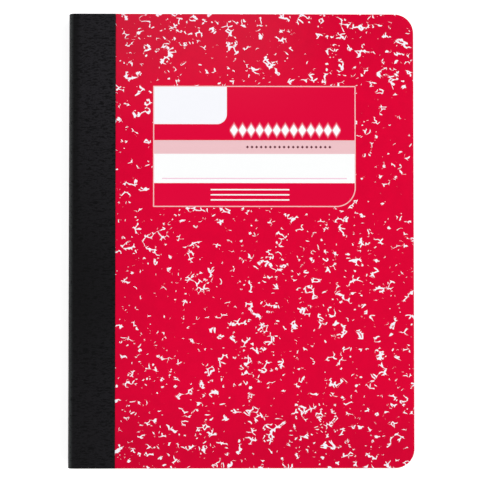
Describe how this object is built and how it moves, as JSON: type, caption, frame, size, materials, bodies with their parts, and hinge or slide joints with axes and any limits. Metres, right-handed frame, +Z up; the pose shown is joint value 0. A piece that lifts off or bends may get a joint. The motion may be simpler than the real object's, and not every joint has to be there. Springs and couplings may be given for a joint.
{
  "type": "composition notebook",
  "caption": "Composition notebook with red-and-white marbled board covers, a black cloth-tape spine, rounded fore-edge corners and a sewn block of ruled leaves.",
  "frame": {"origin": "on the surface the notebook lies on, under the middle of its outline", "axes": "+X from the spine to the fore-edge, +Y to the head, +Z up through the thickness to the front cover"},
  "size_m": [0.1885, 0.2476, 0.0108],
  "materials": {
    "paper": "matte",
    "marbled_board": "satin",
    "black_tape": "satin",
    "thread": "matte"
  },
  "bodies": {
    "leaves": {"page_block": "paper", "spine_tape": "black_tape", "needle_thread": "thread", "bobbin_thread": "thread"},
    "front": {"front_cover": "marbled_board", "spine_tape_front_wing": "black_tape"},
    "back": {"back_cover": "marbled_board", "spine_tape_back_wing": "black_tape"}
  },
  "joints": [
    {"name": "front_cover_hinge", "type": "hinge", "parent": "leaves", "child": "front", "pos_m": [-0.09105, 0, 0.0108], "axis": [0, -1, 0], "range_deg": [0, 180]},
    {"name": "back_cover_hinge", "type": "hinge", "parent": "leaves", "child": "back", "pos_m": [-0.09105, 0, 0], "axis": [0, 1, 0], "range_deg": [0, 180]}
  ]
}
